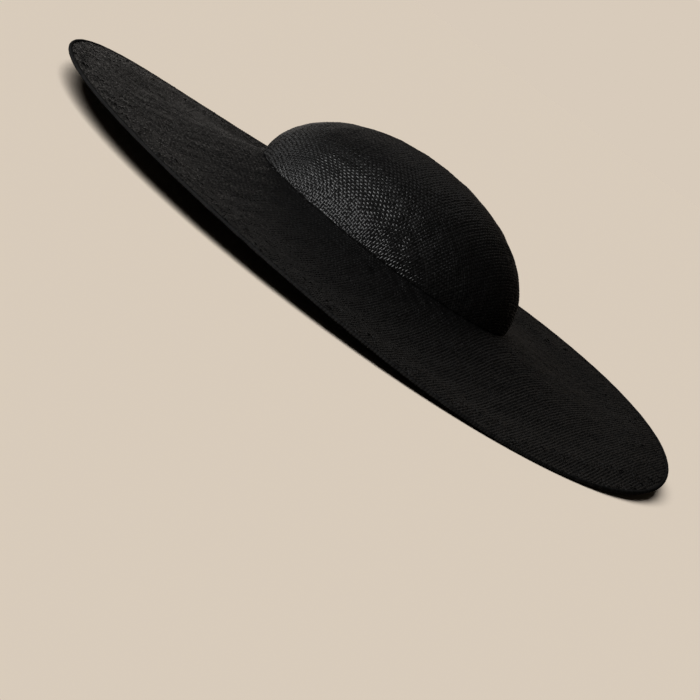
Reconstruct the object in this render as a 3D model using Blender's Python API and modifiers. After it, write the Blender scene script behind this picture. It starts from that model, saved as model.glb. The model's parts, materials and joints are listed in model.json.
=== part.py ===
"""A wide-brimmed woven straw hat: a low domed crown, a very wide dished brim and a fine roll round its edge.

Units are metres, +Z is up and the front of the hat faces -Y. The hat stands as it rests on a table:
the origin is in the middle of its plan, on the surface, and the brim's two side dips touch it.

Every surface is worked out from two numbers. "angle" goes round the hat, from 0 at its left side (+X)
through a quarter turn at the back (+Y). "share" goes from 0 at the headline, where crown and brim meet,
to 1 at the brim's edge, or on the crown from 0 at the headline to 1 at the top.
"""
import math

import bmesh
import bpy
import numpy as np

# plan, in metres: the edge is measured outside its roll, the headline outside the crown
BRIM_HALF_WIDTH = 0.2220
BRIM_HALF_LENGTH = 0.2266
HEAD_HALF_WIDTH = 0.0862
HEAD_HALF_LENGTH = 0.0971

# crown: height over the headline, and how much fuller than an ellipse its section is (2 is an ellipse)
CROWN_HEIGHT = 0.0580
CROWN_FULLNESS = 2.05

# straw, edge roll, and the space between pieces that touch
STRAW_THICKNESS = 0.0015
EDGE_ROLL_RADIUS = 0.0013
CLEARANCE = 0.0003

# the headline's height over the brim's mean edge, and its lean, higher at the front
HEADLINE_HEIGHT = 0.0120
HEADLINE_LEAN = math.radians(2.46)

# the edge's waves: two dips at the sides, flatter front and back, and a back a little over the front
SIDE_DIP = 0.0076
END_FLATNESS = 0.0009
BACK_LIFT = 0.0008

# the brim's section: how much of its fall comes early, and its dish, shallower at the sides
EARLY_FALL = 0.6
DISH_DEPTH = 0.0051
DISH_CHANGE = 0.0009
DISH_PLACE = 0.45

# mesh sizes
SEGMENTS = 80
CROWN_RINGS = 13
BRIM_RINGS = 10

# the collar on the brim reaches up inside the crown as far as the crown's first ring
COLLAR_SHARE = 1 / CROWN_RINGS

STRAW_BLACK = (0.012, 0.011, 0.011, 1.0)
EDGE_BLACK = (0.016, 0.015, 0.014, 1.0)


def edge_height(angle):
    """Height of the brim's edge over its own mean, a few waves round the hat."""
    dips = -SIDE_DIP * np.cos(2 * angle)
    flats = -END_FLATNESS * np.cos(4 * angle)
    lift = -BACK_LIFT * np.sin(3 * angle)
    return dips + flats + lift


def headline_height(angle, half_length):
    """Height of a leaning plane over an oval of this half length."""
    return HEADLINE_HEIGHT - math.tan(HEADLINE_LEAN) * half_length * np.sin(angle)


def floor_height():
    """Height of the table under the brim's mean edge: the lowest point of the edge roll."""
    angles = np.linspace(0.0, 2 * np.pi, SEGMENTS, endpoint=False)
    return float(edge_height(angles).min()) - STRAW_THICKNESS / 2 - EDGE_ROLL_RADIUS


FLOOR = floor_height()
BRIM_INNER_LOSS = 2 * EDGE_ROLL_RADIUS + CLEARANCE


def brim_top(angle, share):
    """A point on the brim's upper surface, between the headline oval and the oval of its edge."""
    half_width = HEAD_HALF_WIDTH + (BRIM_HALF_WIDTH - HEAD_HALF_WIDTH) * share
    half_length = HEAD_HALF_LENGTH + (BRIM_HALF_LENGTH - HEAD_HALF_LENGTH) * share
    fall = (1 - EARLY_FALL) * share + EARLY_FALL * (1 - (1 - share) ** 2)
    dish = DISH_DEPTH - DISH_CHANGE * np.cos(2 * angle)
    sag = np.sin(np.pi * share ** (math.log(0.5) / math.log(DISH_PLACE)))
    height = headline_height(angle, HEAD_HALF_LENGTH) * (1 - fall) + edge_height(angle) * fall - dish * sag
    return half_width * np.cos(angle), half_length * np.sin(angle), height - FLOOR


def crown_outside(angle, share, inset=0.0):
    """A point on the crown: an oval that closes towards the top along a quarter of a full ellipse.

    An inset draws the oval in by that much, for what lies inside the crown's wall.
    """
    turn = share * np.pi / 2
    reach = max(math.cos(turn), 0.0) ** (2 / CROWN_FULLNESS)
    rise = math.sin(turn) ** (2 / CROWN_FULLNESS)
    half_width = HEAD_HALF_WIDTH * reach - inset
    half_length = HEAD_HALF_LENGTH * reach - inset
    # the crown's own axis leans back with the headline
    lean_back = math.sin(HEADLINE_LEAN) * CROWN_HEIGHT * rise
    height = headline_height(angle, half_length) + CROWN_HEIGHT * rise + CLEARANCE
    return half_width * np.cos(angle), half_length * np.sin(angle) + lean_back, height - FLOOR


def collar_outside(angle, share):
    """A point on the collar, just inside the crown's wall, whose foot stands on the brim."""
    x, y, z = crown_outside(angle, share, STRAW_THICKNESS + CLEARANCE)
    return x, y, z - CLEARANCE


def make_material(name, colour, roughness):
    material = bpy.data.materials.new(name)
    material.use_nodes = True
    shader = material.node_tree.nodes["Principled BSDF"]
    shader.inputs["Base Color"].default_value = colour
    shader.inputs["Roughness"].default_value = roughness
    shader.inputs["Metallic"].default_value = 0.0
    material.diffuse_color = colour
    return material


def link_part(name, mesh, material, collection):
    part = bpy.data.objects.new(name, mesh)
    mesh.materials.append(material)
    collection.objects.link(part)
    return part


def wrapped_sheet(name, rings):
    """A sheet that goes round the hat once, through closed rings of SEGMENTS points each.

    A flat grid is bent into a tube, its seam is merged, and each row is laid on one ring. A last ring
    of no width closes into a single point.
    """
    bm = bmesh.new()
    rows = len(rings)
    bmesh.ops.create_grid(bm, x_segments=SEGMENTS, y_segments=rows - 1, size=1.0)
    for vert in bm.verts:
        angle = (vert.co.x + 1) * np.pi
        row = round((vert.co.y + 1) / 2 * (rows - 1))
        vert.co = rings[row](angle)
    bmesh.ops.remove_doubles(bm, verts=bm.verts, dist=1e-6)
    bmesh.ops.recalc_face_normals(bm, faces=bm.faces)
    mesh = bpy.data.meshes.new(name)
    bm.to_mesh(mesh)
    bm.free()
    return mesh


def face_up(mesh):
    """Turns the sheet's faces so that its outer, upper side is the front."""
    bm = bmesh.new()
    bm.from_mesh(mesh)
    bm.normal_update()
    if sum(face.normal.z * face.calc_area() for face in bm.faces) < 0:
        bmesh.ops.reverse_faces(bm, faces=bm.faces)
    bm.to_mesh(mesh)
    bm.free()


def thicken(part):
    """Gives an open sheet its straw thickness, inwards from the surface that was drawn."""
    wall = part.modifiers.new("straw", "SOLIDIFY")
    wall.thickness = STRAW_THICKNESS
    wall.offset = -1.0
    wall.use_even_offset = True


def smooth(mesh, sharp_degrees):
    mesh.shade_smooth()
    mesh.set_sharp_from_angle(angle=math.radians(sharp_degrees))


def make_crown(collection, material):
    """The low round crown: an open dome that stands over the collar on the brim."""
    shares = [row / CROWN_RINGS for row in range(CROWN_RINGS + 1)]
    rings = [lambda angle, share=share: crown_outside(angle, share) for share in shares]
    mesh = wrapped_sheet("crown", rings)
    face_up(mesh)
    smooth(mesh, 50)
    crown = link_part("crown", mesh, material, collection)
    thicken(crown)
    return crown


def make_brim(collection, material):
    """The brim: a collar inside the crown, a crisp bend under its wall, and the wide dished plate."""
    rings = [lambda angle: collar_outside(angle, COLLAR_SHARE), lambda angle: collar_outside(angle, 0.0)]
    edge_share = 1 - BRIM_INNER_LOSS / (BRIM_HALF_WIDTH - HEAD_HALF_WIDTH)
    for row in range(BRIM_RINGS + 1):
        share = edge_share * row / BRIM_RINGS
        rings.append(lambda angle, share=share: brim_top(angle, share))
    mesh = wrapped_sheet("brim", rings)
    face_up(mesh)
    smooth(mesh, 50)
    brim = link_part("brim", mesh, material, collection)
    thicken(brim)
    return brim


def make_edge_roll(collection, material):
    """The fine roll round the brim: a closed round tube along the edge, half a straw below its top."""
    curve = bpy.data.curves.new("brim_edge", "CURVE")
    curve.dimensions = "3D"
    curve.bevel_depth = EDGE_ROLL_RADIUS
    curve.bevel_resolution = 2
    spline = curve.splines.new("POLY")
    spline.points.add(SEGMENTS - 1)
    spline.use_cyclic_u = True
    for index, point in enumerate(spline.points):
        angle = 2 * math.pi * index / SEGMENTS
        x = (BRIM_HALF_WIDTH - EDGE_ROLL_RADIUS) * math.cos(angle)
        y = (BRIM_HALF_LENGTH - EDGE_ROLL_RADIUS) * math.sin(angle)
        z = float(edge_height(angle)) - STRAW_THICKNESS / 2 - FLOOR
        point.co = (x, y, z, 1.0)
    return link_part("brim_edge", curve, material, collection)


def main():
    for old in list(bpy.data.objects):
        bpy.data.objects.remove(old, do_unlink=True)
    collection = bpy.data.collections.new("wide_brim_hat")
    bpy.context.scene.collection.children.link(collection)
    straw = make_material("woven_straw", STRAW_BLACK, 0.45)
    roll = make_material("rolled_straw", EDGE_BLACK, 0.40)
    make_crown(collection, straw)
    make_brim(collection, straw.copy())
    make_edge_roll(collection, roll)


main()
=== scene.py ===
# %% [markdown]
# A wide-brimmed straw hat
#
# This lesson dresses a plain model of a hat in real woven straw. The plain model is a fixed frame: it
# gives the sizes and the place, and every new piece stands exactly where one of its solids stands.
# The hat is one mat of black straw, pressed over a block into a low dome, a very wide brim and a rolled
# edge. So the lesson first works out where a spot of the flat mat ends up on the hat. The weave is then
# laid out on the flat mat, where it is a simple lattice, and the mat's map carries it onto the hat.

# %% Load the frame and keep its box
import json
import math

import bmesh
import bpy
import numpy as np
from mathutils import Matrix, Vector

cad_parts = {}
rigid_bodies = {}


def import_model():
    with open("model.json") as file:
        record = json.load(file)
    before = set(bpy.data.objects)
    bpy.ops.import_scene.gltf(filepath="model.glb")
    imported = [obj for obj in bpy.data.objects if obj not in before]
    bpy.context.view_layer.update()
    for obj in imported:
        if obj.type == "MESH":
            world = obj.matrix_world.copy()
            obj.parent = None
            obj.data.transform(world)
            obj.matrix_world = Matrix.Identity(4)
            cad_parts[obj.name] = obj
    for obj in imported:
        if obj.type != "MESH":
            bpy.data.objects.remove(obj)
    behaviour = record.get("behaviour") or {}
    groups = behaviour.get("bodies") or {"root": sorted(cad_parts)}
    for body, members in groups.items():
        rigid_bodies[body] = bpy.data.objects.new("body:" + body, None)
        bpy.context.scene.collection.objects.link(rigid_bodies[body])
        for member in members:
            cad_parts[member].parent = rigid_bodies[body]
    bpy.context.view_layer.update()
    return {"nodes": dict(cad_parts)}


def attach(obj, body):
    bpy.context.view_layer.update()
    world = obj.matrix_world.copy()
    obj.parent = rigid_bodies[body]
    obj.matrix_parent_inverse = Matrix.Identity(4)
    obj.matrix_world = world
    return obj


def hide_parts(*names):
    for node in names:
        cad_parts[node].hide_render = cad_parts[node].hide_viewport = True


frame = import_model()
print("solids in the frame:", sorted(frame["nodes"]))

# %% [markdown]
# The hat's named sizes
#
# These are the frame's own sizes, in metres. +Z is up and the front of the hat faces -Y. The hat stands
# as it rests on a table, on the two low sides of its brim. All later shapes are worked out from them, so
# the straw follows the frame without any fitting by eye. Two ovals carry the shape: the headline, where
# crown and brim meet, and the brim's edge. Half widths go along X and half lengths along Y.

# %% Sizes of the hat
MM_PER_M = 1000
BRIM_HALF_WIDTH = 0.2220
BRIM_HALF_LENGTH = 0.2266
HEAD_HALF_WIDTH = 0.0862
HEAD_HALF_LENGTH = 0.0971
BRIM_GROWTH_WIDTH = BRIM_HALF_WIDTH - HEAD_HALF_WIDTH
BRIM_GROWTH_LENGTH = BRIM_HALF_LENGTH - HEAD_HALF_LENGTH
# the crown's height over the headline, and how full its curve is, where 2 is an ellipse
CROWN_HEIGHT = 0.0580
CROWN_FULLNESS = 2.05
# the wall of straw, the roll along its edge, and the gap that the frame leaves between its solids
STRAW_THICKNESS = 0.0015
EDGE_ROLL_RADIUS = 0.0013
CLEARANCE = 0.0003
print(f"brim: {2 * BRIM_HALF_WIDTH * MM_PER_M:.0f} by {2 * BRIM_HALF_LENGTH * MM_PER_M:.0f} mm")

# %% [markdown]
# Heights of headline and edge
#
# The angle goes round the hat, from 0 at its left side through a quarter turn at the back. The headline
# is pressed on the block and stays a flat oval that leans back a little. The edge is free. It dips at the
# two sides and rises at front and back, which could be drawn point by point, but a sum of a few waves is
# smooth all round by itself. The hat stands on its lowest spots, so the floor's height follows as well.

# %% Heights of headline and edge
HEADLINE_HEIGHT = 0.0120
HEADLINE_LEAN = math.radians(2.46)
SIDE_DIP = 0.0076
END_FLATNESS = 0.0009
BACK_LIFT = 0.0008
# the frame's solids have this many corners round the hat, and its floor touches the lowest of them
FRAME_CORNERS = 80


def headline_height(angle, half_length):
    """Height of a leaning plane over an oval: the mean height less the slope times the way back."""
    return HEADLINE_HEIGHT - math.tan(HEADLINE_LEAN) * half_length * np.sin(angle)


def edge_height(angle):
    """Height of the brim's edge: the sum of three waves that go two, four and three times round the hat."""
    dips = -SIDE_DIP * np.cos(2 * angle)
    flats = -END_FLATNESS * np.cos(4 * angle)
    lift = -BACK_LIFT * np.sin(3 * angle)
    return dips + flats + lift


all_round = np.linspace(0.0, 2 * np.pi, FRAME_CORNERS, endpoint=False)
FLOOR = float(edge_height(all_round).min()) - STRAW_THICKNESS / 2 - EDGE_ROLL_RADIUS
print(f"the floor lies {-FLOOR * MM_PER_M:.1f} mm under the edge's mean height")

# %% [markdown]
# What wear has done to the brim
#
# So wide a brim doesn't keep its pressed shape for long. Lifting the hat by its brim bends it softly along
# a line or two, and its outer part dries a little rounder than the block. These are only one or two
# millimetres, but on a brim seen at a low slant they show as pale lines in the shine. A bend is a line in
# plan whose one side falls away and then comes back, which is a product of two exponentials.

# %% Bends and rounding of the brim
# each bend: the two ends of its line in plan, whose left side falls away, and its depth before it fades
BENDS = (
    ((-0.0968, -0.1625), (-0.0525, -0.0859), 0.0034),
    ((0.0366, 0.1314), (0.0723, 0.1861), 0.0016),
)
BEND_WIDTH = 0.006
BEND_FADE = 0.026
BEND_ROUNDING = 0.0032
# where a bend starts and ends, in shares of its line, and how it fades at the headline and at the edge
BEND_START = (-0.15, 0.15)
BEND_END = (-0.25, 0.04)
BORDER_FADE = (0.0, 0.12)
# the share of the brim from which it is pressed round, and the height of that
OUTER_FROM = 0.62
OUTER_ROUNDING = 0.0010


def smooth_step(value, low, high):
    """0 below low, 1 above high, and an S-shaped cubic between."""
    part = np.clip((value - low) / (high - low), 0.0, 1.0)
    return part * part * (3 - 2 * part)


def soft_bend(x, y, start, end, depth):
    """Height lost behind a line: 1 - exp(-distance / width), times exp(-distance / fade), with the
    distance rounded off at the line itself, and nothing past the line's two ends."""
    run_x, run_y = end[0] - start[0], end[1] - start[1]
    length = math.hypot(run_x, run_y)
    along = ((x - start[0]) * run_x + (y - start[1]) * run_y) / length ** 2
    across = ((y - start[1]) * run_x - (x - start[0]) * run_y) / length
    behind = BEND_ROUNDING * np.logaddexp(0.0, across / BEND_ROUNDING)
    drop = depth * (1 - np.exp(-behind / BEND_WIDTH)) * np.exp(-behind / BEND_FADE)
    return drop * smooth_step(along, *BEND_START) * smooth_step(1 - along, *BEND_END)


def worn_height(x, y, share):
    """What use adds to the height: a squared half sine wave over the outer part, less the soft bends."""
    outer = np.clip((share - OUTER_FROM) / (1 - OUTER_FROM), 0.0, 1.0)
    rounding = OUTER_ROUNDING * np.sin(np.pi * outer) ** 2
    bends = sum(soft_bend(x, y, start, end, depth) for start, end, depth in BENDS)
    return rounding - bends * smooth_step(share, *BORDER_FADE) * smooth_step(1 - share, *BORDER_FADE)


print("soft bends in the brim:", len(BENDS))

# %% [markdown]
# The hat's two surfaces
#
# Both are functions of two numbers: the angle, and a share that goes from 0 at the headline to 1 at the
# brim's edge or at the top of the crown. A function on a grid of these two numbers gives a whole surface
# at once, and the same function later carries each strand of the weave.

# %% Surface of the brim
# how much sooner than evenly the brim falls from headline to edge
EARLY_FALL = 0.6
# the dish: its mean depth, its change round the hat, and the share at which it is deepest
DISH_DEPTH = 0.0051
DISH_CHANGE = 0.0009
DISH_PLACE = 0.45
DISH_POWER = math.log(0.5) / math.log(DISH_PLACE)


def brim_top(angle, share):
    """The brim: ovals that grow evenly from headline to edge, at a height blended from headline to edge,
    less a dish that is half a sine wave deep, plus what wear has done."""
    x = (HEAD_HALF_WIDTH + BRIM_GROWTH_WIDTH * share) * np.cos(angle)
    y = (HEAD_HALF_LENGTH + BRIM_GROWTH_LENGTH * share) * np.sin(angle)
    fall = (1 - EARLY_FALL) * share + EARLY_FALL * (1 - (1 - share) ** 2)
    dish = (DISH_DEPTH - DISH_CHANGE * np.cos(2 * angle)) * np.sin(np.pi * share ** DISH_POWER)
    height = headline_height(angle, HEAD_HALF_LENGTH) * (1 - fall) + edge_height(angle) * fall - dish
    return np.stack([x, y, height + worn_height(x, y, share) - FLOOR], axis=-1)


front_edge = brim_top(-np.pi / 2, 1.0)
print(f"the front edge is {front_edge[2] * MM_PER_M:.1f} mm over the floor")


# %% Surface of the crown
def crown_curve(share):
    """A quarter of a slightly full ellipse, from headline to top: cosine and sine of the quarter turn, to
    the power 2 / fullness, give how far out and how high it is."""
    turn = np.clip(share, 0.0, 1.0) * np.pi / 2
    reach = np.maximum(np.cos(turn), 0.0) ** (2 / CROWN_FULLNESS)
    rise = np.sin(turn) ** (2 / CROWN_FULLNESS)
    return reach, rise


def crown_outside(angle, share, inset=0.0):
    """The crown: ovals that close towards the top along its curve, on an axis that leans back with the
    headline. An inset draws each oval in by that much."""
    reach, rise = crown_curve(share)
    half_width = HEAD_HALF_WIDTH * reach - inset
    half_length = HEAD_HALF_LENGTH * reach - inset
    lean_back = math.sin(HEADLINE_LEAN) * CROWN_HEIGHT * rise
    x = half_width * np.cos(angle)
    y = half_length * np.sin(angle) + lean_back
    height = headline_height(angle, half_length) + CROWN_HEIGHT * rise + CLEARANCE
    return np.stack([x, y, height - FLOOR], axis=-1)


crown_top = crown_outside(0.0, 1.0)
print(f"the crown's top is {crown_top[2] * MM_PER_M:.1f} mm over the floor")

# %% [markdown]
# Where the flat mat goes
#
# A blocked hat starts as a flat woven mat that is wetted and pulled over a dome. The mat touches the top
# first, so a spot of it that lies some way from the middle ends up that far down the crown's side, and
# past the headline it runs out along the brim. Going back is as easy: the crown's arc length is added up
# once in a table, and on the brim a few steps of trial and error find the oval a spot lies on.

# %% Map between flat mat and crown
MEAN_HALF = (HEAD_HALF_WIDTH + HEAD_HALF_LENGTH) / 2
TABLE_ROWS = 600
table_share = np.linspace(0.0, 1.0, TABLE_ROWS)
table_reach, table_rise = crown_curve(table_share)
table_steps = np.hypot(np.diff(table_reach * MEAN_HALF), np.diff(table_rise * CROWN_HEIGHT))
table_climb = np.concatenate([[0.0], np.cumsum(table_steps)])
CROWN_RUN = float(table_climb[-1])
MAT_HALF_WIDTH = CROWN_RUN * HEAD_HALF_WIDTH / MEAN_HALF
MAT_HALF_LENGTH = CROWN_RUN * HEAD_HALF_LENGTH / MEAN_HALF


def crown_from_mat(mat_x, mat_y):
    """Angle and share of a spot: its way from the middle is the arc length down from the top."""
    angle = np.arctan2(mat_y / MAT_HALF_LENGTH, mat_x / MAT_HALF_WIDTH)
    way = CROWN_RUN * np.hypot(mat_x / MAT_HALF_WIDTH, mat_y / MAT_HALF_LENGTH)
    return angle, np.interp(CROWN_RUN - way, table_climb, table_share)


def mat_from_crown(angle, share):
    """The other way round: the arc length from the top, laid out flat along the angle."""
    way = 1 - np.interp(share, table_share, table_climb) / CROWN_RUN
    return MAT_HALF_WIDTH * way * np.cos(angle), MAT_HALF_LENGTH * way * np.sin(angle)


print(f"the mat runs {CROWN_RUN * MM_PER_M:.1f} mm from the top of the crown to the headline")

# %% Map between flat mat and brim
SEARCH_STEPS = 7


def mat_from_brim(angle, share):
    """Past the headline the mat's oval grows exactly as the brim's does."""
    half_x = MAT_HALF_WIDTH + BRIM_GROWTH_WIDTH * share
    half_y = MAT_HALF_LENGTH + BRIM_GROWTH_LENGTH * share
    return half_x * np.cos(angle), half_y * np.sin(angle)


def brim_from_mat(mat_x, mat_y):
    """Angle and share of a spot, by steps: how far it lies off the present oval moves the oval there."""
    share = np.zeros_like(mat_x)
    for _step in range(SEARCH_STEPS):
        half_x = MAT_HALF_WIDTH + BRIM_GROWTH_WIDTH * share
        half_y = MAT_HALF_LENGTH + BRIM_GROWTH_LENGTH * share
        off = np.hypot(mat_x / half_x, mat_y / half_y) - 1
        share = share + off * (half_x + half_y) / (BRIM_GROWTH_WIDTH + BRIM_GROWTH_LENGTH)
    return np.arctan2(mat_y / half_y, mat_x / half_x), share


half_way = 0.5
found_share = brim_from_mat(*mat_from_brim(all_round, half_way))[1]
print(f"the search misses the middle of the brim by {abs(found_share - half_way).max():.1e} of its width")

# %% [markdown]
# Pressed straw is never quite flat
#
# Damp straw that dries on a block keeps a faint unevenness, a tenth of a millimetre over a centimetre or
# two. It shows only in the shine, which breaks up into brighter and duller patches. A sum of slow waves in
# all directions, each with its own length and phase, gives such a surface without any visible repeat. All
# chance in this lesson comes from one seeded source, so every run gives the same hat.

# %% Unevenness of the mat
SEED = 11
chance = np.random.default_rng(SEED)
WAVE_COUNT = 14
WAVE_HEIGHT = 0.000045
SHORTEST_WAVE = 0.008
LONGEST_WAVE = 0.022
MEAN_WAVE = 0.015
wave_length = chance.uniform(SHORTEST_WAVE, LONGEST_WAVE, WAVE_COUNT)
wave_way = chance.uniform(0.0, 2 * np.pi, WAVE_COUNT)
wave_phase = chance.uniform(0.0, 2 * np.pi, WAVE_COUNT)


def unevenness(mat_x, mat_y):
    """Sum of sine waves over the flat mat, longer waves being higher."""
    total = np.zeros_like(mat_x)
    for length, way, phase in zip(wave_length, wave_way, wave_phase):
        run = (mat_x * math.cos(way) + mat_y * math.sin(way)) * 2 * math.pi / length
        total = total + WAVE_HEIGHT * (length / MEAN_WAVE) * np.sin(run + phase)
    return total


uneven_edge = unevenness(*mat_from_brim(all_round, 1.0))
print(f"unevenness round the edge: {uneven_edge.std() * MM_PER_M:.2f} mm on average")

# %% [markdown]
# Lifting a spot off the surface
#
# A strand lies a fraction of a millimetre proud of the mat's middle, so each of its points is moved along
# the surface's normal. The normal comes from two short steps along the surface and their cross product,
# which works for any surface that is given as a function.

# %% Points at a height over the surface
STEP = 0.0002
# the brim's mat ends in the middle of the rolled edge
INSIDE_ROLL = 1 - EDGE_ROLL_RADIUS / BRIM_GROWTH_WIDTH


def lift(surface, to_surface, to_mat, lowest, highest, mat_x, mat_y, height):
    """The spot's place plus height times the unit normal, which is the cross product of two short steps
    of the mat. Spots past the surface's border are drawn back onto it."""
    angle, share = to_surface(mat_x, mat_y)
    place = surface(angle, np.clip(share, lowest, highest))
    margin = 2 * STEP / BRIM_GROWTH_WIDTH
    inner_x, inner_y = to_mat(angle, np.clip(share, lowest + margin, 1.0))
    step_x = surface(*to_surface(inner_x + STEP, inner_y)) - surface(*to_surface(inner_x - STEP, inner_y))
    step_y = surface(*to_surface(inner_x, inner_y + STEP)) - surface(*to_surface(inner_x, inner_y - STEP))
    normal = np.cross(step_x, step_y)
    normal /= np.linalg.norm(normal, axis=-1, keepdims=True)
    return place + normal * (height + unevenness(mat_x, mat_y))[..., None]


def on_crown(mat_x, mat_y, height):
    """Spots of the mat at a height over the crown."""
    return lift(crown_outside, crown_from_mat, mat_from_crown, 0.0, 1.0, mat_x, mat_y, height)


def on_brim(mat_x, mat_y, height):
    """Spots of the mat at a height over the brim."""
    return lift(brim_top, brim_from_mat, mat_from_brim, 0.0, INSIDE_ROLL, mat_x, mat_y, height)


middle = on_crown(np.zeros(1), np.zeros(1), np.zeros(1))[0]
print("the middle of the mat lies at", np.round(middle * MM_PER_M, 1), "mm")

# %% [markdown]
# From points to a mesh
#
# The larger surfaces below are tables of points: rows along one number, columns round the hat. One helper
# joins neighbours into four-sided faces, closes the seam where the last column meets the first, merges a
# row that has shrunk to a point, and turns all faces to one side. A second one makes that the upper side.

# %% Helpers that make a mesh from rows of points
MERGE_DISTANCE = 1e-6


def link_mesh(name, mesh):
    """Puts a mesh into the scene as an object at the origin."""
    piece = bpy.data.objects.new(name, mesh)
    bpy.context.scene.collection.objects.link(piece)
    return piece


def ring_faces(rows, columns, closed_rows=False):
    """Corner numbers of all faces of a grid whose last column joins the first."""
    row = np.arange(rows if closed_rows else rows - 1)[:, None]
    column = np.arange(columns)[None, :]
    next_row = (row + 1) % rows
    next_column = (column + 1) % columns
    corners = [row * columns + column, row * columns + next_column]
    corners += [next_row * columns + next_column, next_row * columns + column]
    return np.stack(corners, axis=-1).reshape(-1, 4)


def mesh_from_rings(name, points, closed_rows=False):
    """A mesh of closed rings, with equal points merged and its faces turned to one side."""
    rows, columns = points.shape[:2]
    mesh = bpy.data.meshes.new(name)
    mesh.from_pydata(points.reshape(-1, 3).tolist(), [], ring_faces(rows, columns, closed_rows).tolist())
    shell = bmesh.new()
    shell.from_mesh(mesh)
    bmesh.ops.remove_doubles(shell, verts=shell.verts, dist=MERGE_DISTANCE)
    bmesh.ops.recalc_face_normals(shell, faces=shell.faces)
    shell.to_mesh(mesh)
    shell.free()
    mesh.shade_smooth()
    return mesh


def turn_faces_up(mesh):
    """Turns an open sheet over if most of its area faces down."""
    sheet = bmesh.new()
    sheet.from_mesh(mesh)
    sheet.normal_update()
    if sum(face.normal.z * face.calc_area() for face in sheet.faces) < 0:
        bmesh.ops.reverse_faces(sheet, faces=sheet.faces)
    sheet.to_mesh(mesh)
    sheet.free()


def add_wall(piece, thickness):
    """Thickens an open sheet inwards, with a rim where it ends."""
    wall = piece.modifiers.new("wall", "SOLIDIFY")
    wall.thickness = thickness
    wall.offset = -1.0
    wall.use_even_offset = True


# %% [markdown]
# The mat's body
#
# Between the strands one looks into the dark body of the mat. It is a thin wall, a quarter of a
# millimetre under the frame's surface on both sides, which leaves room for the strands to lie on it.
# The dome closes in one point at the top. The brim starts with a collar that stands inside the crown, and
# ends inside the rolled edge, so no light comes through between them.

# %% Body of the crown
BODY_INSET = 0.00025
BODY_THICKNESS = STRAW_THICKNESS - 2 * BODY_INSET
BODY_CORNERS = 240
CROWN_RINGS = 44


def make_crown_body():
    """Rings of the mat from the crown's top to the headline, a little under the crown's surface."""
    way = np.linspace(0.0, 1.0, CROWN_RINGS)[:, None]
    angle = np.linspace(0.0, 2 * np.pi, BODY_CORNERS, endpoint=False)[None, :]
    mat_x = MAT_HALF_WIDTH * way * np.cos(angle)
    mat_y = MAT_HALF_LENGTH * way * np.sin(angle)
    points = on_crown(mat_x, mat_y, -BODY_INSET * np.ones_like(mat_x))
    # the first ring is the top, and closes in one point
    points[0] = points[0].mean(axis=0)
    mesh = mesh_from_rings("crown_body", points)
    turn_faces_up(mesh)
    body = link_mesh("crown_body", mesh)
    add_wall(body, BODY_THICKNESS)
    return body


crown_body = make_crown_body()
print("faces of the crown's body:", len(crown_body.data.polygons))

# %% Body of the brim
# the collar reaches up inside the crown by this share of the crown's curve, as the frame's does
COLLAR_SHARE = 1 / 13
COLLAR_RINGS = 5
BRIM_RINGS = 56
# the fold between collar and brim is sharper than this, so it is shaded as an edge
SHARP_FOLD = math.radians(50)


def make_brim_body():
    """Rings up the collar, then rings of the brim from headline to edge, a little under its surface."""
    angle = np.linspace(0.0, 2 * np.pi, BODY_CORNERS, endpoint=False)[None, :]
    collar_share = np.linspace(COLLAR_SHARE, 0.0, COLLAR_RINGS)[:, None]
    collar = crown_outside(angle, collar_share, STRAW_THICKNESS + CLEARANCE + BODY_INSET)
    collar[..., 2] -= CLEARANCE + BODY_INSET * (1 - collar_share / COLLAR_SHARE)
    share = np.linspace(0.0, INSIDE_ROLL, BRIM_RINGS)[:, None]
    mat_x, mat_y = mat_from_brim(angle, share)
    plate = on_brim(mat_x, mat_y, -BODY_INSET * np.ones_like(mat_x))
    mesh = mesh_from_rings("brim_body", np.concatenate([collar, plate]))
    turn_faces_up(mesh)
    mesh.set_sharp_from_angle(angle=SHARP_FOLD)
    body = link_mesh("brim_body", mesh)
    add_wall(body, BODY_THICKNESS)
    return body


brim_body = make_brim_body()
print("faces of the brim's body:", len(brim_body.data.polygons))

# %% [markdown]
# The weave
#
# The straw is a plain weave: flat, shiny strands in two directions, each passing over one and under the
# next. Seen from above, every crossing shows just one short arch, of one strand or of the other in turn,
# like the squares of a chessboard. So the whole weave can be made of small arches, each of only a few
# faces, whose ends dive under their neighbours. They are worked out all at once, on the flat mat, and
# then carried onto the hat. Real arches catch the light as straw does, also where one looks along the
# brim, which a painted bump can't do.

# %% Sizes of the weave
# the way from strand to strand, and how far the weave is turned on the hat
PITCH = 0.00188
STRAND_TURN = math.radians(37.0)
# an arch: half its length and width, its top over the body, and how far its ends and sides drop
ARCH_HALF_LENGTH = 0.70 * PITCH
ARCH_HALF_WIDTH = 0.44 * PITCH
ARCH_TOP = 0.00036
ARCH_END_DROP = 0.00030
ARCH_SIDE_DROP = 0.00042
# strands are numbered from minus to plus this number, which covers the mat with some to spare
SPARE_STRANDS = 3
MAT_REACH = int((MAT_HALF_LENGTH + BRIM_GROWTH_LENGTH) / PITCH) + SPARE_STRANDS
STRANDS = 2 * MAT_REACH + 1
print("strands in each direction:", STRANDS)

# %% [markdown]
# No two strands are alike
#
# A straw is a split stem, so each strand has its own width, height, shade and gloss, leans a little to one
# side and wanders off its line. These facts belong to a whole strand, and are drawn by chance once for
# each. Near the edge, where hands touch the brim, the weave is looser: there the arches tilt more, in
# patches, which gives the shine its small flecks.

# %% Facts of each strand
WIDTH_SPREAD = 0.10
HEIGHT_SPREAD = 0.00004
ROLL_SPREAD = 0.00006


def spread(size, count):
    """Differences of a given size: numbers from a bell curve, cut off at twice that size."""
    return size * chance.standard_normal(count).clip(-2, 2)


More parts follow.
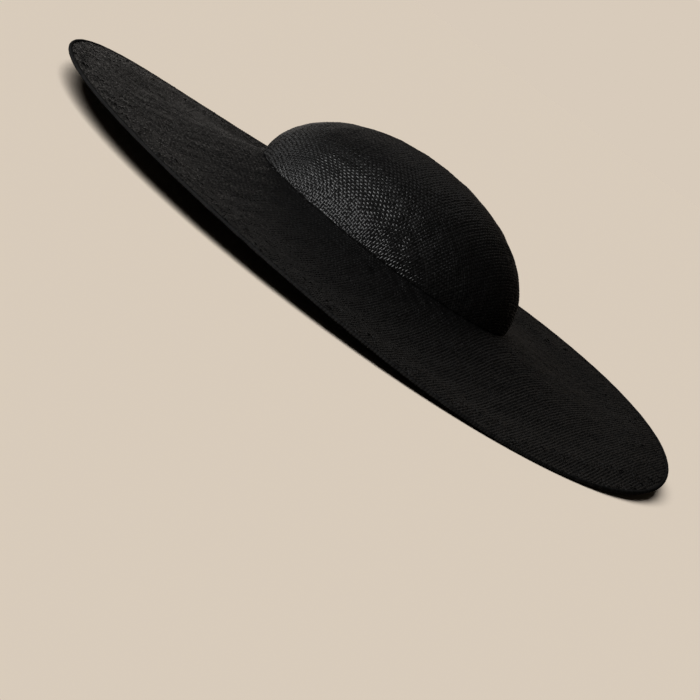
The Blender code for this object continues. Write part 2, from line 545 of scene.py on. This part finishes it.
def strand_facts():
    """What differs from strand to strand: width, height, roll, shade, and the phase of its wander."""
    return {
        "width": 1 + spread(WIDTH_SPREAD, STRANDS),
        "height": spread(HEIGHT_SPREAD, STRANDS),
        "roll": spread(ROLL_SPREAD, STRANDS),
        "shade": chance.random(STRANDS),
        "phase": chance.random(STRANDS) * 2 * np.pi,
    }


first_strands = strand_facts()
second_strands = strand_facts()
print(f"widths differ by up to {abs(first_strands['width'] - 1).max() * 100:.0f} per cent")


# %% Crossings of the weave, and where it is loose
EDGE_LOOSENESS = 3.6
# where looseness sets in: how near the edge, and how high the mat's slow waves are there
LOOSE_NEARNESS = (0.78, 0.94)
LOOSE_HEIGHT = (0.00003, 0.00016)


def turned_onto_mat(along, across):
    """Turns the weave's own two directions onto the mat."""
    mat_x = along * math.cos(STRAND_TURN) - across * math.sin(STRAND_TURN)
    mat_y = along * math.sin(STRAND_TURN) + across * math.cos(STRAND_TURN)
    return mat_x, mat_y


def crossings(first_direction, on_outside, keep):
    """Numbers (i, j) of the crossings that keep() wants and where that direction lies on top: i + j even
    or odd, and the other way round on the mat's lower side."""
    numbers = np.arange(-MAT_REACH, MAT_REACH + 1)
    i, j = np.meshgrid(numbers, numbers, indexing="ij")
    even = (i + j) % 2 == 0
    wanted = even if first_direction == on_outside else ~even
    i, j = i[wanted], j[wanted]
    kept = keep(*turned_onto_mat(i * PITCH, j * PITCH))
    return i[kept], j[kept]


def looseness(mat_x, mat_y):
    """How much more the arches tilt near the brim's edge: a smooth step towards the edge, times a smooth
    step of the mat's slow waves, which gives patches."""
    half_x = MAT_HALF_WIDTH + BRIM_GROWTH_WIDTH
    half_y = MAT_HALF_LENGTH + BRIM_GROWTH_LENGTH
    nearness = smooth_step(np.hypot(mat_x / half_x, mat_y / half_y), *LOOSE_NEARNESS)
    patches = smooth_step(unevenness(mat_x, mat_y), *LOOSE_HEIGHT)
    return 1 + EDGE_LOOSENESS * nearness * patches


# %% [markdown]
# The shape of one arch
#
# Each arch is a small grid, three rows along its strand and a few columns across it. Its height is a
# parabola along the strand and a part of an oval across it. The crown is seen closest, so its arches get
# five columns, those of the brim three, and those inside and underneath are plain strips of two.

# %% One arch as a grid
ROWS = 3
ROUND_COLUMNS = 5
PLAIN_COLUMNS = 3
STRIP_COLUMNS = 2
# the oval is cut off just short of its upright ends, and a strip lies at this share of its drop
OVAL_CUT = 0.92
STRIP_DROP = 0.3


def grid_numbers(columns):
    """Rows from -1 to 1 along an arch, and columns from -1 to 1 across it that crowd at its sides."""
    row = np.linspace(-1.0, 1.0, ROWS)[None, :, None]
    column = np.sin(np.linspace(-np.pi / 2, np.pi / 2, columns))[None, None, :]
    return row, column


def arch_height(row, column):
    """Height of an arch: its top, less a parabola along it, less a part of an oval across it."""
    oval = ARCH_SIDE_DROP * (1 - np.sqrt(1 - (OVAL_CUT * column) ** 2)) / (1 - math.sqrt(1 - OVAL_CUT ** 2))
    if column.size == STRIP_COLUMNS:
        oval = STRIP_DROP * ARCH_SIDE_DROP
    return ARCH_TOP - ARCH_END_DROP * row ** 2 - oval


arch_sample = arch_height(*grid_numbers(ROUND_COLUMNS))
print(f"an arch stands from {arch_sample.min() * MM_PER_M:.2f} to {arch_sample.max() * MM_PER_M:.2f} mm")

# %% [markdown]
# All arches at once
#
# A crossing's two numbers give the arch's place, and the strand's number looks up the strand's facts. With
# one table entry for each arch, row and column, numpy works out all arches in a few lines. The piece also
# gets a map of its own, a square sheet with one cell for each crossing, into which its finish can be
# baked: no two arches share a place there, as they would in a map that is projected onto the hat.

# %% Table of all arches
ARCH_TILT = 0.00009
# the wander: how far a strand leaves its line, and the way over which the wander's phase grows by one
SWAY = 0.00014
SWAY_RUN = 0.009
# how much of an arch's shade is its strand's, and how much is its own
STRAND_SHADE = 0.55
ARCH_SHADE = 0.45
# an arch fills its cell of the map from the middle to this far on each side
CELL_MIDDLE = 0.5
CELL_REACH = 0.42


def cell_places(first_direction, i, j, row, column):
    """Places in the piece's own map: the crossing's cell, plus the place in it by row and column."""
    cell_run = CELL_MIDDLE + CELL_REACH * row + 0 * column
    cell_line = CELL_MIDDLE + CELL_REACH * column + 0 * row
    cell_i, cell_j = (cell_run, cell_line) if first_direction else (cell_line, cell_run)
    places_i = (i + MAT_REACH)[:, None, None] + cell_i
    places_j = (j + MAT_REACH)[:, None, None] + cell_j
    return np.stack([places_i, places_j], axis=-1) / STRANDS


def arches(first_direction, on_outside, keep, columns):
    """All arches that keep() wants, each with rows along its strand and columns across it. The result is
    mat_x, mat_y, height over the body, shade, and places in the piece's own map, each as a table of
    arches by rows by columns."""
    i, j = crossings(first_direction, on_outside, keep)
    run_number, strand_number = (i, j) if first_direction else (j, i)
    facts = first_strands if first_direction else second_strands
    own = {fact: values[strand_number + MAT_REACH][:, None, None] for fact, values in facts.items()}
    row, column = grid_numbers(columns)
    run = run_number[:, None, None] * PITCH + row * ARCH_HALF_LENGTH
    sway = SWAY * np.sin(run / SWAY_RUN + own["phase"])
    line = strand_number[:, None, None] * PITCH + sway + column * ARCH_HALF_WIDTH * own["width"]
    mat_x, mat_y = turned_onto_mat(*((run, line) if first_direction else (line, run)))
    loose = looseness(*turned_onto_mat(i * PITCH, j * PITCH))
    tilt_along = spread(ARCH_TILT, len(i))[:, None, None]
    tilt_across = spread(ARCH_TILT * loose, len(i))[:, None, None] + own["roll"]
    height = arch_height(row, column) + own["height"] + tilt_along * row + tilt_across * column
    shade = STRAND_SHADE * own["shade"] + ARCH_SHADE * chance.random(len(i))[:, None, None]
    layout = cell_places(first_direction, i, j, row, column)
    return mat_x, mat_y, height, np.broadcast_to(shade, mat_x.shape), layout


# %% [markdown]
# Round strands from few faces
#
# Light tells a round strand from a flat one by its normals. Where an arch has only two or three columns,
# the normals that Blender works out from the faces are too flat, so they are set here from the arch's own
# slopes instead. The five columns of the crown's arches are round enough by themselves.

# %% Normals of an arch
END_SLOPE = 2 * ARCH_END_DROP / ARCH_HALF_LENGTH
SIDE_SLOPE = 0.35


def unit(vectors):
    """Vectors divided by their own lengths."""
    return vectors / np.linalg.norm(vectors, axis=-1, keepdims=True)


def round_normals(points, wound_outwards):
    """Normals of a round strand, also where only a few faces make it: the arch's own flat normal, leaned
    along the strand by the arch's slope and across it by the slope of the oval."""
    along = unit(points[:, -1:, :, :] - points[:, :1, :, :])
    across = unit(points[:, :, -1:, :] - points[:, :, :1, :])
    upright = unit(np.cross(along, across)) * (1.0 if wound_outwards else -1.0)
    row, column = grid_numbers(points.shape[2])
    fall_along = (END_SLOPE * row)[..., None]
    fall_across = (SIDE_SLOPE * column / np.sqrt(1 - (OVAL_CUT * column) ** 2))[..., None]
    return unit(upright + fall_along * along + fall_across * across)


# %% Mesh of all arches
def arch_faces(count, rows, columns, wound_outwards):
    """Corner numbers of all faces: those of one grid, counted on from the first corner of each arch."""
    row, column = np.meshgrid(np.arange(rows - 1), np.arange(columns - 1), indexing="ij")
    first = (row * columns + column).reshape(-1)
    corners = np.stack([first, first + columns, first + columns + 1, first + 1], axis=-1)
    if not wound_outwards:
        corners = corners[:, ::-1]
    return (corners[None] + (np.arange(count) * rows * columns)[:, None, None]).reshape(-1, 4)


def mesh_from_arches(name, points, shade, layout, wound_outwards):
    """One mesh of all arches, with the shade of each point and the piece's own map."""
    count, rows, columns = points.shape[:3]
    faces = arch_faces(count, rows, columns, wound_outwards)
    mesh = bpy.data.meshes.new(name)
    mesh.vertices.add(count * rows * columns)
    mesh.vertices.foreach_set("co", points.reshape(-1).astype(np.float32))
    mesh.loops.add(faces.size)
    mesh.loops.foreach_set("vertex_index", faces.reshape(-1).astype(np.int32))
    mesh.polygons.add(len(faces))
    mesh.polygons.foreach_set("loop_start", np.arange(0, faces.size, 4, dtype=np.int32))
    mesh.update(calc_edges=True)
    mesh.shade_smooth()
    tint = mesh.attributes.new("shade", "FLOAT", "POINT")
    tint.data.foreach_set("value", shade.reshape(-1).astype(np.float32))
    chart = mesh.uv_layers.new(name="OFBake")
    chart.uv.foreach_set("vector", layout.reshape(-1, 2)[faces.reshape(-1)].reshape(-1).astype(np.float32))
    mesh.validate()
    if columns < ROUND_COLUMNS:
        normals = round_normals(points, wound_outwards).reshape(-1, 3)
        mesh.normals_split_custom_set_from_vertices(normals.tolist())
    return mesh


# %% [markdown]
# Laying the weave on the hat
#
# Outside, inside and underneath, each strand direction is a piece of its own, which keeps every mesh small
# enough to export whole. On the mat's lower side the arches hang down, and a crossing that shows one
# direction outside shows the other one there. The crown's weave ends at the headline and the brim's where
# the roll begins, each with arches that reach a little past its border, so no gap opens between them.

# %% Weave of the crown and of the brim
# the share of the brim where the rolled edge begins, and how many pitches an arch may pass a border
PLATE_END = 1 - (2 * EDGE_ROLL_RADIUS + CLEARANCE) / BRIM_GROWTH_WIDTH
OVERREACH = 0.2


def in_crown(mat_x, mat_y):
    """Whether a spot lies in the mat's oval for the crown."""
    return np.hypot(mat_x / MAT_HALF_WIDTH, mat_y / MAT_HALF_LENGTH) < 1 + OVERREACH * PITCH / CROWN_RUN


def in_brim(mat_x, mat_y):
    """Whether a spot lies between headline and rolled edge."""
    share = brim_from_mat(mat_x, mat_y)[1]
    spare = OVERREACH * PITCH / BRIM_GROWTH_WIDTH
    return (share > -spare) & (share < PLATE_END + spare)


def weave_piece(name, surface_lift, keep, first_direction, on_outside, columns):
    """The arches of one strand direction on one side of the mat, as one piece."""
    mat_x, mat_y, height, shade, layout = arches(first_direction, on_outside, keep, columns)
    if on_outside:
        points = surface_lift(mat_x, mat_y, height - BODY_INSET)
    else:
        points = surface_lift(mat_x, mat_y, -(height - BODY_INSET) - STRAW_THICKNESS)
    # rows run along the strand, so the two directions wind their faces oppositely
    mesh = mesh_from_arches(name, points, shade, layout, first_direction == on_outside)
    return link_mesh(name, mesh)


crown_weave = [weave_piece("crown_strands_across", on_crown, in_crown, True, True, ROUND_COLUMNS)]
crown_weave.append(weave_piece("crown_strands_along", on_crown, in_crown, False, True, ROUND_COLUMNS))
brim_weave = [weave_piece("brim_strands_across", on_brim, in_brim, True, True, PLAIN_COLUMNS)]
brim_weave.append(weave_piece("brim_strands_along", on_brim, in_brim, False, True, PLAIN_COLUMNS))
lining_weave = [weave_piece("crown_inner_across", on_crown, in_crown, True, False, STRIP_COLUMNS)]
lining_weave.append(weave_piece("crown_inner_along", on_crown, in_crown, False, False, STRIP_COLUMNS))
under_weave = [weave_piece("brim_under_across", on_brim, in_brim, True, False, STRIP_COLUMNS)]
under_weave.append(weave_piece("brim_under_along", on_brim, in_brim, False, False, STRIP_COLUMNS))
for piece in crown_weave + brim_weave + lining_weave + under_weave:
    print(piece.name, "has", len(piece.data.polygons) * 2, "triangles")

# %% [markdown]
# The rolled edge
#
# The mat's edge is rolled over into a fine cord and pressed. The strands wrap it in slanting ribs. It is a
# round profile carried along the edge oval. Its radius grows and shrinks a little with each rib, along a
# slant, and slowly swells and thins on the way round, as a cord rolled by hand does.

# %% Rolled edge
RIB_COUNT = 740
STEPS_PER_RIB = 4
ROLL_COLUMNS = 10
# the radius, in shares of the frame's: its mean, and how much the swells and the ribs change it
ROLL_MEAN = 0.83
ROLL_SWELL = 0.05
ROLL_RIB = 0.12
# the swells: their number round the hat, how far and how often they shift, and what fades them
SWELL_COUNT = 31
SWELL_SHIFT = 2
SHIFT_COUNT = 7
FADE_COUNT = 53
FADE_PHASE = 1.0


def roll_radius(angle, around):
    """Radius of the roll: a mean, plus a slow swell, which is a product of two sine waves round the hat,
    plus a cosine of the rib count times the angle, with one extra turn round the profile as the slant."""
    rib = np.cos(RIB_COUNT * angle - around)
    swell = np.sin(SWELL_COUNT * angle + SWELL_SHIFT * np.sin(SHIFT_COUNT * angle))
    slow = swell * np.sin(FADE_COUNT * angle + FADE_PHASE)
    return EDGE_ROLL_RADIUS * (ROLL_MEAN + ROLL_SWELL * slow + ROLL_RIB * rib)


def make_edge_roll():
    """The edge oval plus a circle of that radius, upright and square to the oval."""
    angle = np.linspace(0.0, 2 * np.pi, RIB_COUNT * STEPS_PER_RIB, endpoint=False)[:, None]
    around = np.linspace(0.0, 2 * np.pi, ROLL_COLUMNS, endpoint=False)[None, :]
    radius = roll_radius(angle, around)
    half_width = BRIM_HALF_WIDTH - EDGE_ROLL_RADIUS
    half_length = BRIM_HALF_LENGTH - EDGE_ROLL_RADIUS
    outward = unit(np.stack([half_length * np.cos(angle), half_width * np.sin(angle)], axis=-1))
    x = half_width * np.cos(angle) + outward[..., 0] * radius * np.cos(around)
    y = half_length * np.sin(angle) + outward[..., 1] * radius * np.cos(around)
    z = edge_height(angle) - STRAW_THICKNESS / 2 - FLOOR + radius * np.sin(around)
    mesh = mesh_from_rings("edge_roll", np.stack([x, y, z], axis=-1), closed_rows=True)
    # each rib is one strand, and has its own shade
    rib_shade = chance.random(RIB_COUNT)
    rib_number = np.round((RIB_COUNT * angle - around) / (2 * np.pi)).astype(int) % RIB_COUNT
    tint = mesh.attributes.new("shade", "FLOAT", "POINT")
    tint.data.foreach_set("value", rib_shade[rib_number].reshape(-1).astype(np.float32))
    return link_mesh("edge_roll", mesh)


edge_roll = make_edge_roll()
print("edge roll:", len(edge_roll.data.polygons) * 2, "triangles")

# %% [markdown]
# Straw as a material
#
# Dyed straw is nearly black, with a hard natural skin that gives each strand a satin gloss. The shade that
# each arch carries picks a tone between soot black and a slightly worn, duller black. It sets the gloss as
# well, which also changes softly from patch to patch. Fine fibres show as a faint bump, for which a very
# fine noise is enough at this size. The body behind the strands gets the same dye without the gloss,
# because its skin never shows, and the roll is duller than the rest, because it is rubbed the most.

# %% Node helpers
def new_material(name):
    """A node material and its main shader."""
    material = bpy.data.materials.new(name)
    material.use_nodes = True
    return material, material.node_tree.nodes["Principled BSDF"]


def add_node(material, kind, **values):
    """A node with some of its settings or sockets filled in."""
    node = material.node_tree.nodes.new(kind)
    for key, value in values.items():
        if hasattr(node, key):
            setattr(node, key, value)
        else:
            node.inputs[key.replace("_", " ")].default_value = value
    return node


def join(material, out_socket, in_socket):
    """A link from one node to another."""
    material.node_tree.links.new(out_socket, in_socket)


def colour_ramp(material, factor, stops):
    """A colour ramp with the given (place, colour) stops."""
    ramp = add_node(material, "ShaderNodeValToRGB")
    join(material, factor, ramp.inputs["Fac"])
    elements = ramp.color_ramp.elements
    for number, (place, colour) in enumerate(stops):
        element = elements[number] if number < 2 else elements.new(place)
        element.position = place
        element.color = (*colour, 1.0)
    return ramp.outputs["Color"]


# %% Material of the strands
SOOT = (0.0030, 0.0029, 0.0029)
WORN_SOOT = (0.0078, 0.0077, 0.0076)
# noises: how many of their cells go into a metre, and how much they change
CLOUDS_PER_M = 60.0
CLOUD_DULLNESS = 0.08
FIBRES_PER_M = 2600.0
FIBRE_STRENGTH = 0.15
FIBRE_HEIGHT = 0.0001


def strand_material(name, smoothest, roughest, refraction):
    """Shade and roughness by strand, a soft cloudy change of roughness, and fine fibres as bump."""
    material, shader = new_material(name)
    place = add_node(material, "ShaderNodeTexCoord")
    shade = add_node(material, "ShaderNodeAttribute", attribute_name="shade")
    tone = colour_ramp(material, shade.outputs["Fac"], [(0.0, SOOT), (1.0, WORN_SOOT)])
    join(material, tone, shader.inputs["Base Color"])
    cloud = add_node(material, "ShaderNodeTexNoise", Scale=CLOUDS_PER_M, Detail=3.0)
    join(material, place.outputs["Object"], cloud.inputs["Vector"])
    gloss = add_node(material, "ShaderNodeMapRange", To_Min=smoothest, To_Max=roughest)
    join(material, shade.outputs["Fac"], gloss.inputs["Value"])
    patches = add_node(material, "ShaderNodeMath", operation="MULTIPLY_ADD")
    join(material, cloud.outputs["Fac"], patches.inputs[0])
    patches.inputs[1].default_value = CLOUD_DULLNESS
    join(material, gloss.outputs["Result"], patches.inputs[2])
    join(material, patches.outputs["Value"], shader.inputs["Roughness"])
    fibre = add_node(material, "ShaderNodeTexNoise", Scale=FIBRES_PER_M, Detail=2.0)
    join(material, place.outputs["Object"], fibre.inputs["Vector"])
    bump = add_node(material, "ShaderNodeBump", Strength=FIBRE_STRENGTH, Distance=FIBRE_HEIGHT)
    join(material, fibre.outputs["Fac"], bump.inputs["Height"])
    join(material, bump.outputs["Normal"], shader.inputs["Normal"])
    shader.inputs["IOR"].default_value = refraction
    return material


strand_finish = strand_material("straw_strands", smoothest=0.12, roughest=0.26, refraction=1.35)
edge_finish = strand_material("rolled_straw", smoothest=0.62, roughest=0.80, refraction=1.20)
print("finishes:", strand_finish.name, "and", edge_finish.name)

# %% Material of the body
BODY_BLACK = (0.0020, 0.0019, 0.0019)
GRAINS_PER_M = 900.0
BODY_ROUGHNESS = 0.85
BODY_SPECULAR = 0.1


def body_material():
    """The dark body behind the strands, with a dull, uneven tone."""
    material, shader = new_material("straw_body")
    place = add_node(material, "ShaderNodeTexCoord")
    grain = add_node(material, "ShaderNodeTexNoise", Scale=GRAINS_PER_M, Detail=3.0)
    join(material, place.outputs["Object"], grain.inputs["Vector"])
    tone = colour_ramp(material, grain.outputs["Fac"], [(0.3, BODY_BLACK), (0.8, SOOT)])
    join(material, tone, shader.inputs["Base Color"])
    shader.inputs["Roughness"].default_value = BODY_ROUGHNESS
    shader.inputs["Specular IOR Level"].default_value = BODY_SPECULAR
    return material


body_finish = body_material()
print("finish behind the strands:", body_finish.name)

# %% [markdown]
# Dressing the frame
#
# Each new piece gets its finish and two facts. It rides on the hat's one body, so it moves wherever the
# hat is moved. It replaces a solid of the frame, which stays for collision but is hidden.

# %% Dress the pieces and fix them to the frame
def dress(piece, material, node):
    """Gives a piece its finish, ties it to the hat's body and hides the solid it stands for."""
    piece.data.materials.append(material)
    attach(piece, "root")
    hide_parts(node)


dress(crown_body, body_finish, "crown")
dress(brim_body, body_finish, "brim")
dress(edge_roll, edge_finish, "brim_edge")
for piece in crown_weave + lining_weave:
    dress(piece, strand_finish, "crown")
for piece in brim_weave + under_weave:
    dress(piece, strand_finish, "brim")
hat_pieces = [crown_body, brim_body, edge_roll] + crown_weave + brim_weave + lining_weave + under_weave
print("pieces of the hat:", len(hat_pieces))

# %% [markdown]
# Camera
#
# The camera stands where it stood for the picture that the hat was made from: off the front left corner, a
# little above the brim, and rolled, because the hat hangs at a slant in that picture. Its place is given in
# metres. Its turn is built up as a photographer would do it: face the hat from that side, then turn the
# camera about its own three axes.

# %% Camera
AZIMUTH = math.radians(56.2079)
ELEVATION = math.radians(8.5776)
YAW = math.radians(-1.1728)
PITCH_DOWN = math.radians(-3.0394)
ROLL = math.radians(-36.0846)
CAMERA_PLACE = Vector((0.8478977, -0.5674488, 0.16374))
LENS_MM = 85.0
SENSOR_MM = 36.0
FAR_CLIP = 50.0


def camera_axes():
    """Right, up and back of the camera: first aimed at the hat, then yawed, pitched and rolled."""
    level = math.cos(ELEVATION)
    back = Vector((math.sin(AZIMUTH) * level, -math.cos(AZIMUTH) * level, math.sin(ELEVATION)))
    right = Vector((math.cos(AZIMUTH), math.sin(AZIMUTH), 0.0))
    up = back.cross(right)
    yawed_right = right * math.cos(YAW) - back * math.sin(YAW)
    yawed_back = back * math.cos(YAW) + right * math.sin(YAW)
    pitched_up = up * math.cos(PITCH_DOWN) + yawed_back * math.sin(PITCH_DOWN)
    pitched_back = yawed_back * math.cos(PITCH_DOWN) - up * math.sin(PITCH_DOWN)
    rolled_right = yawed_right * math.cos(ROLL) - pitched_up * math.sin(ROLL)
    rolled_up = yawed_right * math.sin(ROLL) + pitched_up * math.cos(ROLL)
    return rolled_right, rolled_up, pitched_back


view_right, view_up, view_back = camera_axes()


def make_camera():
    """A camera whose three axes are the columns of its turn."""
    lens = bpy.data.cameras.new("camera")
    lens.lens = LENS_MM
    lens.sensor_width = SENSOR_MM
    lens.clip_end = FAR_CLIP
    camera = bpy.data.objects.new("camera", lens)
    turn = Matrix((view_right, view_up, view_back)).transposed()
    camera.matrix_world = Matrix.Translation(CAMERA_PLACE) @ turn.to_4x4()
    bpy.context.scene.collection.objects.link(camera)
    bpy.context.scene.camera = camera


make_camera()
print(f"the camera stands {CAMERA_PLACE.length:.2f} m from the middle of the floor")

# %% [markdown]
# Floor
#
# The hat stands on a wide sheet of pale paper. The paper is matt, and the straw doesn't mirror it: a floor
# this pale would grey the shaded side of the crown, which is black in the picture, where no floor lies
# under the hat.

# %% Paper floor
PAPER = (0.849, 0.739, 0.614)
PAPER_ROUGHNESS = 0.9
FLOOR_REACH = 14.0
FLOOR_RINGS = 12
FLOOR_CORNERS = 72


def make_floor():
    """Rings of a flat disc: radius grows with the square of the row number."""
    reach = FLOOR_REACH * np.linspace(0.0, 1.0, FLOOR_RINGS)[:, None] ** 2
    angle = np.linspace(0.0, 2 * np.pi, FLOOR_CORNERS, endpoint=False)[None, :]
    points = np.stack([reach * np.cos(angle), reach * np.sin(angle), 0 * reach * angle], axis=-1)
    mesh = mesh_from_rings("floor", points)
    turn_faces_up(mesh)
    floor = link_mesh("floor", mesh)
    material, shader = new_material("paper")
    shader.inputs["Base Color"].default_value = (*PAPER, 1.0)
    shader.inputs["Roughness"].default_value = PAPER_ROUGHNESS
    shader.inputs["Specular IOR Level"].default_value = 0.0
    mesh.materials.append(material)
    floor.visible_glossy = False
    return floor


floor = make_floor()
print("the floor reaches", FLOOR_REACH, "m")

# %% [markdown]
# Light
#
# Straw this black needs its own light, apart from the paper's. A photographer keeps the two apart with
# flags and barn doors. Here each lamp is linked to what it may light: one broad, soft lamp overhead lights
# the paper and throws the hat's soft shadow, and the others light the hat alone. A large soft lamp, low
# and to the camera's left, draws the shine on the crown. Weaker ones light the side, the top and the back,
# some of them a little warm, as light off a cream wall is. The studio to the right stays dark, so the
# right of the crown falls into shade.

# %% Helpers for lamps
HAT_MIDDLE = Vector((0.0, 0.0, 0.04))
SOFTBOX_SIZE = 0.9
SOFTBOX_DISTANCE = 1.7
SUN_SPREAD = math.radians(50.0)
SUN_DISTANCE = 3.0


def add_lamp(name, light, place, target):
    """A lamp at a place, facing a target."""
    lamp = bpy.data.objects.new(name, light)
    lamp.location = place
    lamp.rotation_euler = (Vector(place) - Vector(target)).to_track_quat("Z", "Y").to_euler()
    bpy.context.scene.collection.objects.link(lamp)
    return lamp


def lit_by(lamp, objects):
    """Links a lamp to the objects that it may light."""
    lit = bpy.data.collections.new("lit_by_" + lamp.name)
    for item in objects:
        lit.objects.link(item)
    lamp.light_linking.receiver_collection = lit


def from_camera(turn_degrees, climb_degrees, distance):
    """A place round the hat, counted from the camera's own side and from the floor."""
    angle = math.atan2(view_back.y, view_back.x) + math.radians(turn_degrees)
    climb = math.radians(climb_degrees)
    way = Vector((math.cos(angle) * math.cos(climb), math.sin(angle) * math.cos(climb), math.sin(climb)))
    return HAT_MIDDLE + way * distance


def hat_lamp(name, turn_degrees, climb_degrees, power, colour):
    """A square softbox that lights the hat alone."""
    light = bpy.data.lights.new(name, "AREA")
    light.shape = "SQUARE"
    light.size = SOFTBOX_SIZE
    light.energy = power
    light.color = colour
    lamp = add_lamp(name, light, from_camera(turn_degrees, climb_degrees, SOFTBOX_DISTANCE), HAT_MIDDLE)
    lit_by(lamp, hat_pieces)


def paper_lamp(turn_degrees, climb_degrees, strength):
    """A broad, soft lamp overhead that lights the paper alone."""
    light = bpy.data.lights.new("paper_lamp", "SUN")
    light.energy = strength
    light.angle = SUN_SPREAD
    lamp = add_lamp("paper_lamp", light, from_camera(turn_degrees, climb_degrees, SUN_DISTANCE), HAT_MIDDLE)
    lit_by(lamp, [floor])


# %% Lamps
NEUTRAL = (1.0, 1.0, 1.0)
OFF_THE_WALL = (1.0, 0.94, 0.88)
WARM_WALL = (1.0, 0.86, 0.74)
# each lamp: its name, its turn from the camera and its climb in degrees, its power in watts, its colour
HAT_LAMPS = (
    ("key_lamp", -33.0, 12.0, 33.0, NEUTRAL),
    ("side_lamp", -90.0, 12.0, 6.0, NEUTRAL),
    ("rim_lamp", -150.0, 12.0, 1.25, OFF_THE_WALL),
    ("back_lamp", 180.0, 42.0, 0.48, OFF_THE_WALL),
    ("wall_lamp", 165.0, 10.0, 0.20, WARM_WALL),
    ("top_lamp", -40.0, 72.0, 2.6, NEUTRAL),
)
paper_lamp(turn_degrees=-50.0, climb_degrees=60.0, strength=2.9)
for lamp_facts in HAT_LAMPS:
    hat_lamp(*lamp_facts)
print("lamps:", sorted(light.name for light in bpy.data.lights))

# %% [markdown]
# Backdrop
#
# The paper meets a backdrop of the same tone, so no line shows behind the hat. A wall could be modelled,
# but it would throw light back onto the straw. So the backdrop is the world's own colour, at full strength
# for the camera and very dim for everything else. The picture's colours are shown as they are, without a
# film look.

# %% Backdrop tone and picture colours
BACKDROP = (0.687, 0.597, 0.497, 1.0)
STUDIO_GLOW = 0.02


def make_world():
    """The camera sees the backdrop's pale tone, while the hat is lit by a dim glow only."""
    scene = bpy.context.scene
    scene.world = bpy.data.worlds.new("studio")
    scene.world.use_nodes = True
    tree = scene.world.node_tree
    glow = tree.nodes["Background"]
    glow.inputs["Color"].default_value = BACKDROP
    glow.inputs["Strength"].default_value = STUDIO_GLOW
    seen = tree.nodes.new("ShaderNodeBackground")
    seen.inputs["Color"].default_value = BACKDROP
    path = tree.nodes.new("ShaderNodeLightPath")
    mix = tree.nodes.new("ShaderNodeMixShader")
    tree.links.new(path.outputs["Is Camera Ray"], mix.inputs["Fac"])
    tree.links.new(glow.outputs["Background"], mix.inputs[1])
    tree.links.new(seen.outputs["Background"], mix.inputs[2])
    tree.links.new(mix.outputs["Shader"], tree.nodes["World Output"].inputs["Surface"])
    scene.view_settings.view_transform = "Standard"
    scene.view_settings.look = "None"


make_world()
print("backdrop tone:", BACKDROP[:3])
